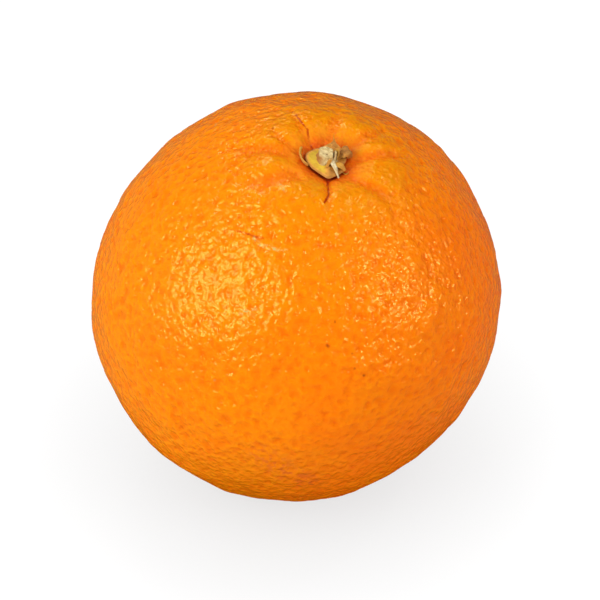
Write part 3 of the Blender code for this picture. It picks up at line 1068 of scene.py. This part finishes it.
@dataclass(frozen=True)
class PeelFinish:
    """The rind: waxy, deep orange in the pits, yellower on the lobes, with a few scars and specks.

    Places of marks are millimetres along the peel from the stem and degrees round it, and widths are
    millimetres.
    """

    rind: Colour = (0.86, 0.246, 0.002)
    # The next three give a redder rind towards the right and lower down: painted shade on the side that the
    # lamps light less. The fourth lays the same red in random patches.
    shade_and_patch_red: Colour = (0.88, 0.188, 0.002)
    shade_side_tilt: float = 0.6
    shade_side_range: tuple[float, float, float, float] = (-0.043, 0.007, -0.25, 0.7)
    blush_patches: float = 0.5
    lobe: Colour = (0.70, 0.248, 0.001)
    pit: Tint = Tint((0.80, 0.150, 0.001), 0.5)
    # Darker and redder along the furrows: painted shade in the valleys.
    furrow: Colour = (0.72, 0.12, 0.0015)
    # Deeper red round the stem's dimple: partly the rind's own tone, partly painted shade under the calyx.
    ring: Tint = Tint((0.62, 0.070, 0.001), 0.85)
    # Painted shadow on the peel under the calyx's rim.
    gap_shadow: Tint = Tint((0.20, 0.008, 0.001))
    # Painted shade: a dark red line along each crease.
    crease: Tint = Tint((0.42, 0.016, 0.001), 0.9)
    crease_shade_width: float = 0.47
    split: Tint = Tint((0.42, 0.016, 0.001), 0.6)
    split_width: float = 0.4
    scar: Tint = Tint((0.58, 0.46, 0.14))
    scar_width: float = 0.62
    speck: Tint = Tint((0.36, 0.045, 0.004), 0.85)
    patch: Tint = Tint((0.66, 0.12, 0.02), 0.55)
    patch_width: float = 5.0
    dust: Tint = Tint((0.58, 0.27, 0.08), 0.55)
    patches: Mottle = Mottle(70.0, 2.0, 0.35, 0.7)
    fine: Mottle = Mottle(520.0, 3.0, 0.35, 0.7)
    rolls: Mottle = Mottle(880.0, 1.0, 0.25, 0.75)
    grain: Mottle = Mottle(2600.0, 2.0, 0.2, 0.8)
    broken: Mottle = Mottle(1500.0, 2.0, 0.4, 0.65)
    freckles: Mottle = Mottle(900.0, 2.0, 0.45, 0.62)
    roughness: float = 0.17
    unevenness: float = 0.1
    dullness: float = 0.3
    gloss_index: float = 1.58
    gold: Colour = (1.0, 0.72, 0.18)
    scatter: Colour = (1.0, 0.75, 0.35)
    scatter_depth: float = 2.4 * MM
    sway: float = 0.7 * MM
    scars: tuple[Line, ...] = (
        ((23.3, -126.4), (23.8, -121)),
        ((23.8, -121), (23.4, -114.5)),
        ((23.4, -114.5), (22.9, -108)),
        ((37.1, -116), (35.0, -112)),
        ((12.0, -139), (12.5, -131)),
    )
    splits: tuple[Line, ...] = (
        ((24.8, -138), (24.0, -133.9)),
        ((24.0, -133.9), (23.5, -129.7)),
        ((23.5, -129.7), (22.5, -122)),
    )
    patch_ends: Line = ((65.0, -98), (72.9, -84))
    specks: tuple[tuple[float, float, float], ...] = (
        (18.4, -102, 0.45), (43.6, -76, 0.35), (45.1, -73, 0.35), (39.2, -85, 0.45), (40.6, -77, 0.35),
        (34.5, -83, 0.35), (21.2, 55, 0.5), (15.2, 44, 0.4), (18.3, 60, 0.4), (13.8, 53, 0.35),
        (23.4, 43, 0.4), (12.9, 146, 0.45), (12.9, 118, 0.5),
    )

    def make(self, fruit: Fruit) -> bpy.types.Material:
        """The rind's material.

        Args:
            fruit: Gives the places of scars, specks and creases on the peel.

        Returns:
            The material: colours laid over one another by masks, and two sizes of fine pores as bump.
        """
        material, wiring, shader, place = started("peel")
        lobe = wiring.marking(Marking.LOBE)
        fine = wiring.mottled(place, self.fine)
        pores = wiring.effect(Effect.PORES, Vector=place, Scale=820.0, Low=0.03, High=0.7)
        colour = self.marked(fruit, wiring, place, self.ground(wiring, place, lobe, fine, pores))
        wiring.feed(shader.inputs["Base Color"], colour)
        waxy = wiring.spread(fine, 0.0, 1.0, self.roughness, self.roughness + self.unevenness)
        dulled = wiring.times(wiring.marking(Marking.DULL), self.dullness)
        wiring.feed(shader.inputs["Roughness"], wiring.maths("ADD", waxy, dulled, clamp=True))
        shader.inputs["Specular Tint"].default_value = (*self.gold, 1.0)
        shader.inputs["IOR"].default_value = self.gloss_index
        shader.inputs["Subsurface Weight"].default_value = 1.0
        shader.inputs["Subsurface Radius"].default_value = self.scatter
        shader.inputs["Subsurface Scale"].default_value = self.scatter_depth
        relief = wiring.spread(lobe, 0.0, 1.0, 1.0, 0.65)
        normal = wiring.bump(wiring.times(pores, relief), 0.14 * MM, 1.0)
        rolls = wiring.times(wiring.mottled(place, self.rolls), relief)
        normal = wiring.bump(rolls, 0.15 * MM, 1.0, normal)
        normal = wiring.bump(wiring.mottled(place, self.grain), 0.02 * MM, 0.7, normal)
        wiring.feed(shader.inputs["Normal"], normal)
        return material

    def ground(self, wiring: Wiring, place: Socket, lobe: Socket, fine: Socket, pores: Socket) -> Socket:
        """The rind's colour without its marks.

        Args:
            wiring: The material's wiring.
            place: The place that patterns are read at.
            lobe: Where the lobes are.
            fine: Fine patches.
            pores: Fine pores.

        Returns:
            The rind, redder low on the right as painted shade and redder in random patches, golden on the
            lobes, deeper in pits, darker in the furrows as painted shade, deeper red in the ring round the
            stem, partly painted shade, and with a painted shadow on the peel under the calyx's rim.
        """
        right, _, up = wiring.node("ShaderNodeSeparateXYZ", place).outputs
        # Painted shade: the rind turns redder towards the right and lower down, where the lamps light it
        # less, and the same red shows in random patches.
        lowered = wiring.maths("SUBTRACT", right, wiring.times(up, self.shade_side_tilt))
        shaded_side = wiring.spread(lowered, *self.shade_side_range)
        patches = wiring.times(wiring.mottled(place, self.patches), self.blush_patches)
        colour = wiring.blend(wiring.maths("ADD", shaded_side, patches, clamp=True), self.rind, self.shade_and_patch_red)
        golden = wiring.times(lobe, wiring.spread(fine, 0.0, 1.0, 0.7, 1.0))
        colour = wiring.blend(golden, colour, self.lobe)
        colour = wiring.coated(colour, wiring.marking(Marking.PIT), self.pit)
        colour = wiring.blend(wiring.spread(pores, 0.0, 1.0, 0.2, 0.0), colour, self.pit.colour)
        # Painted shade: the rind darkens towards red along the furrows.
        deep = wiring.spread(wiring.marking(Marking.FURROW_SHADE), 0.15, 0.6, 0.0, 0.5)
        colour = wiring.blend(deep, colour, self.furrow)
        # The ring round the stem: deeper red, partly painted shade in the dimple.
        colour = wiring.coated(colour, wiring.marking(Marking.COLLAR), self.ring)
        # Painted shadow on the peel under the calyx's rim.
        return wiring.coated(colour, wiring.marking(Marking.GAP_SHADOW), self.gap_shadow)

    def marked(self, fruit: Fruit, wiring: Wiring, place: Socket, colour: Socket) -> Socket:
        """Lay painted shade along the creases, and the scars and specks, over the rind's colour.

        Args:
            fruit: Gives their places.
            wiring: The material's wiring.
            place: The place that patterns are read at.
            colour: The colour so far.

        Returns:
            The colour with its marks.
        """
        sway = wiring.node("ShaderNodeTexNoise")
        wiring.feed(sway.inputs["Vector"], place)
        sway.inputs["Scale"].default_value = 700.0
        off = wiring.vectors("SUBTRACT", sway.outputs["Color"], (0.5, 0.5, 0.5)).outputs[0]
        wavy = wiring.vectors("ADD", place, wiring.scaled(off, self.sway)).outputs[0]

        def line(first: tuple[float, ...], last: tuple[float, ...], width: float) -> Socket:
            """A mask along the line between two places on the peel."""
            start, end = (tuple(fruit.on_peel(*stop)) for stop in (first, last))
            return wiring.effect(Effect.CRACK, Vector=wavy, Start=start, End=end, Width=width * MM)

        # Painted shade along each crease, as strong as that crease asks for.
        crease_shade = None
        for crease in fruit.creases:
            stops = crease.stops()
            for first, last in zip(stops, stops[1:]):
                mask = wiring.times(line(first, last, self.crease_shade_width), crease.painted_shade)
                crease_shade = mask if crease_shade is None else wiring.maths("MAXIMUM", crease_shade, mask)
        colour = wiring.coated(colour, wiring.spread(crease_shade, 0.3, 0.85), self.crease)
        broken = wiring.mottled(place, self.broken)
        for ends in self.scars:
            colour = wiring.coated(colour, wiring.times(line(*ends, self.scar_width), broken), self.scar)
        for ends in self.splits:
            colour = wiring.coated(colour, line(*ends, self.split_width), self.split)
        for arc, azimuth, size in self.specks:
            colour = wiring.coated(colour, line((arc, azimuth), (arc, azimuth), size * 1.3), self.speck)
        freckles = wiring.mottled(place, self.freckles)
        reddened = wiring.times(line(*self.patch_ends, self.patch_width), freckles)
        colour = wiring.coated(colour, reddened, self.patch)
        dust = wiring.effect(Effect.SPECKLE, Vector=wavy, Scale=190.0, Size=0.09, Share=0.35)
        return wiring.coated(colour, dust, self.dust)


@dataclass(frozen=True)
class HuskFinish:
    """The dried calyx: yellow flesh that turns tan at its rim and olive brown where it has dried."""

    flesh: Colour = (0.66, 0.44, 0.010)
    tan: Colour = (0.74, 0.30, 0.030)
    dried: Colour = (0.34, 0.11, 0.008)
    straw: Colour = (0.62, 0.30, 0.036)
    shade: Colour = (0.10, 0.010, 0.002)
    patches: Mottle = Mottle(900.0, 3.0, 0.3, 0.7)

    def make(self) -> bpy.types.Material:
        """The husk's material: yellow to brown by dryness, with darker and paler streaks, a dull face, and
        painted shade on the disc's underside.
        """
        material, wiring, shader, place = started("calyx_husk")
        dry = wiring.marking(Marking.DRY)
        streaks = wiring.streaked(9.0, 3.0)
        patches = wiring.mottled(place, self.patches)
        colour = wiring.blend(wiring.spread(dry, 0.0, 0.55), self.flesh, self.tan)
        uneven = wiring.spread(patches, 0.0, 1.0, -0.25, 0.35)
        browned = wiring.maths("ADD", wiring.spread(dry, 0.45, 1.0), uneven)
        colour = wiring.blend(wiring.maths("MAXIMUM", browned, 0.0, clamp=True), colour, self.dried)
        edge = wiring.spread(wiring.maths("ABSOLUTE", wiring.marking(Marking.ACROSS)), 0.8, 1.0, 0.0, 0.6)
        colour = wiring.blend(edge, colour, self.straw)
        colour = wiring.blend(wiring.spread(streaks, 0.0, 1.0, 0.0, 0.45), colour, self.straw)
        # Painted shade on the disc's underside.
        colour = wiring.blend(wiring.marking(Marking.HOLLOW_SHADE), colour, self.shade)
        wiring.feed(shader.inputs["Base Color"], colour)
        wiring.feed(shader.inputs["Roughness"], wiring.spread(patches, 0.0, 1.0, 0.5, 0.75))
        normal = wiring.bump(streaks, 0.14 * MM, 0.8)
        wiring.feed(shader.inputs["Normal"], wiring.bump(patches, 0.08 * MM, 0.6, normal))
        return material


@dataclass(frozen=True)
class CorkFinish:
    """The broken stem: pale grey-green cork, browner on the stub's sides, with dark pores and painted shade
    in its slit and pit, or paler straw on its torn fibres.
    """

    name: str
    pale: Colour
    dull: Colour
    crumbs: Mottle = Mottle(1500.0, 4.0, 0.35, 0.65)
    # Dark brown for the pores and fibre streaks, and for the painted shade in the slit and the pit.
    hollow: Colour = (0.20, 0.09, 0.02)
    brown: Colour = (0.34, 0.13, 0.018)

    def make(self) -> bpy.types.Material:
        """The cork's material: crumbly patches, streaks along the fibres, dark pores, and the slit and the
        pit painted dark as shade.
        """
        material, wiring, shader, place = started(self.name)
        crumbs = wiring.mottled(place, self.crumbs)
        pores = wiring.effect(Effect.PORES, Vector=place, Scale=3200.0, Low=0.05, High=0.4)
        streaks = wiring.streaked(8.0, 4.0)
        colour = wiring.blend(crumbs, self.pale, self.dull)
        colour = wiring.blend(wiring.spread(streaks, 0.0, 1.0, 0.25, 0.0), colour, self.hollow)
        colour = wiring.blend(wiring.spread(pores, 0.0, 1.0, 0.5, 0.0), colour, self.hollow)
        # Browner on the stub's sides, most on its left, and a little on the torn fibres.
        colour = wiring.blend(wiring.marking(Marking.DRY), colour, self.brown)
        # Painted shade in the slit and the pit.
        colour = wiring.blend(wiring.marking(Marking.HOLLOW_SHADE), colour, self.hollow)
        wiring.feed(shader.inputs["Base Color"], colour)
        wiring.feed(shader.inputs["Roughness"], wiring.spread(crumbs, 0.0, 1.0, 0.7, 0.9))
        normal = wiring.bump(crumbs, 0.12 * MM, 0.7)
        wiring.feed(shader.inputs["Normal"], wiring.bump(streaks, 0.05 * MM, 0.6, normal))
        return material


@dataclass(frozen=True)
class FloorFinish:
    """The studio's floor: a dark matt sheet that glows white, with a painted shadow close to what stands on
    it and the faintest cloudiness.
    """

    light: Colour = (0.060, 0.062, 0.063)
    dim: Colour = (0.058, 0.060, 0.061)
    clouds: Mottle = Mottle(3.0, 2.0, 0.3, 0.7)
    glow: float = 0.985
    glow_on_fruit: float = 0.84
    glow_in_gloss: float = 0.11
    shade: float = 0.31
    shade_reach: float = 34.0 * MM

    def make(self) -> bpy.types.Material:
        """The floor's material: a glowing sheet, with a painted shadow close to what stands on it, and faint
        in its gloss.
        """
        material, wiring, shader, place = started("studio_floor")
        rays = wiring.node("ShaderNodeLightPath").outputs
        glossy = rays["Is Glossy Ray"]
        clouds = wiring.blend(wiring.mottled(place, self.clouds), self.light, self.dim)
        wiring.feed(shader.inputs["Base Color"], wiring.blend(glossy, clouds, (0.0, 0.0, 0.0)))
        shader.inputs["Roughness"].default_value = 0.9
        shader.inputs["Specular IOR Level"].default_value = 0.0
        shader.inputs["Emission Color"].default_value = (1.0, 1.0, 1.0, 1.0)
        # Painted shadow: the glow dims where ambient occlusion finds something close by.
        nearby = wiring.node("ShaderNodeAmbientOcclusion")
        nearby.inputs["Distance"].default_value = self.shade_reach
        hidden = wiring.maths("SUBTRACT", 1.0, nearby.outputs["AO"])
        lit = wiring.maths("SUBTRACT", 1.0, wiring.times(hidden, self.shade))
        seen = wiring.spread(rays["Is Camera Ray"], 0.0, 1.0, self.glow_on_fruit, self.glow)
        strength = wiring.times(wiring.times(seen, lit), wiring.maths("SUBTRACT", 1.0, glossy))
        mirrored = wiring.spread(nearby.outputs["AO"], 0.55, 1.0, 0.0, self.glow_in_gloss)
        strength = wiring.maths("ADD", strength, wiring.times(glossy, mirrored))
        wiring.feed(shader.inputs["Emission Strength"], strength)
        return material


@dataclass(frozen=True)
class Lamp:
    """A square soft light that faces the fruit."""

    name: str
    towards: tuple[float, float, float]
    distance: float
    size: float
    power: float


@dataclass
class Studio:
    """The floor, the soft light and the camera."""

    aim: tuple[float, float, float]
    floor_half: float = 2.5
    floor_height: float = -0.05 * MM
    floor_lines: int = 9
    sky: float = 0.36
    sky_in_gloss: float = 0.05
    elevation: float = 41.0
    distance: float = 0.6
    frame_width: float = 0.1182
    aside: tuple[float, float] = (0.74 * MM, -0.66 * MM)
    lamps: tuple[Lamp, ...] = (
        Lamp("soft_light_left", (-0.67, -0.46, 0.585), 1.0, 0.63, 10.4),
        Lamp("soft_light_right", (0.79, -0.406, 0.459), 1.0, 0.34, 4.7),
        Lamp("soft_light_top", (-0.2, 0.58, 0.79), 1.2, 0.3, 2.6),
        Lamp("soft_light_above", (0.53, 0.19, 0.826), 1.2, 0.17, 1.6),
    )

    def floor(self, material: bpy.types.Material) -> bpy.types.Object:
        """A level sheet, worked out as a grid of right and back."""
        steps = np.linspace(-self.floor_half, self.floor_half, self.floor_lines)
        right, back = np.meshgrid(steps, steps, indexing="ij")
        points = np.stack([right, back, np.full_like(right, self.floor_height)], axis=-1).reshape(-1, 3)
        return Skin(points, grid_faces(self.floor_lines).tolist()).made("studio_floor", material)

    def stand(self, name: str, data: bpy.types.ID, spot: Vector, back: Vector) -> bpy.types.Object:
        """Put a camera or a lamp at a spot, with its back turned the given way."""
        made = bpy.data.objects.new(name, data)
        made.location = spot
        made.rotation_euler = (-back).to_track_quat("-Z", "Y").to_euler()
        bpy.context.scene.collection.objects.link(made)
        return made

    def camera(self) -> None:
        """The camera, in front of the fruit and above it, aimed a little beside the fruit's centre."""
        turn = math.radians(self.elevation)
        back = Vector((0.0, -math.cos(turn), math.sin(turn)))
        up = Vector((0.0, math.sin(turn), math.cos(turn)))
        aim = Vector(self.aim) + Vector((self.aside[0], 0.0, 0.0)) + up * self.aside[1]
        data = bpy.data.cameras.new("camera")
        data.sensor_width = 36.0
        data.lens = data.sensor_width * self.distance / self.frame_width
        bpy.context.scene.camera = self.stand("camera", data, aim + back * self.distance, back)

    def lights(self) -> None:
        """The soft lights and the white surroundings."""
        for lamp in self.lamps:
            data = bpy.data.lights.new(lamp.name, "AREA")
            data.energy = lamp.power
            data.size = lamp.size
            towards = Vector(lamp.towards).normalized()
            self.stand(lamp.name, data, Vector(self.aim) + towards * lamp.distance, towards)
        world = bpy.data.worlds.new("studio_sky")
        world.use_nodes = True
        background = world.node_tree.nodes["Background"]
        background.inputs["Color"].default_value = (1.0, 1.0, 1.0, 1.0)
        wiring = Wiring(world.node_tree)
        glossy = wiring.node("ShaderNodeLightPath").outputs["Is Glossy Ray"]
        strength = wiring.spread(glossy, 0.0, 1.0, self.sky, self.sky_in_gloss)
        wiring.feed(background.inputs["Strength"], strength)
        bpy.context.scene.world = world
        bpy.context.scene.view_settings.view_transform = "Standard"


def kept(pieces: list[bpy.types.Object], node: str, slot: str) -> None:
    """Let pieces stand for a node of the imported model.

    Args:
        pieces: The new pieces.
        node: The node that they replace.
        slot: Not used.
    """
    for piece in pieces:
        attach(piece, "root")
        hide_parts(node)
        LOG.info("%s: %d points for %s", piece.name, len(piece.data.vertices), node)


def main() -> None:
    """Build the fruit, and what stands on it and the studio."""
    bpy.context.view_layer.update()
    fruit = Fruit()
    kept([fruit.skin().made("orange_peel", PeelFinish().make(fruit))], "fruit", "peel")
    husk = HuskFinish().make()
    kept(Calyx(fruit).build(husk), "calyx", "calyx_husk")
    cork = CorkFinish("stem_cork", (0.70, 0.54, 0.25), (0.50, 0.35, 0.13)).make()
    coarse = Mottle(1100.0, 4.0, 0.35, 0.65)
    fibre = CorkFinish("torn_fibre", (0.76, 0.66, 0.40), (0.64, 0.47, 0.21), coarse).make()
    kept(StemEnd(fruit).build(cork, fibre, husk), "stem_stub", "stem_cork")
    studio = Studio(fruit.centre)
    studio.floor(FloorFinish().make())
    studio.lights()
    studio.camera()
    bpy.context.view_layer.update()
    LOG.info("sizes written")


if __name__ == "__main__":
    logging.basicConfig(level=logging.INFO, format="%(name)s %(message)s")
    main()
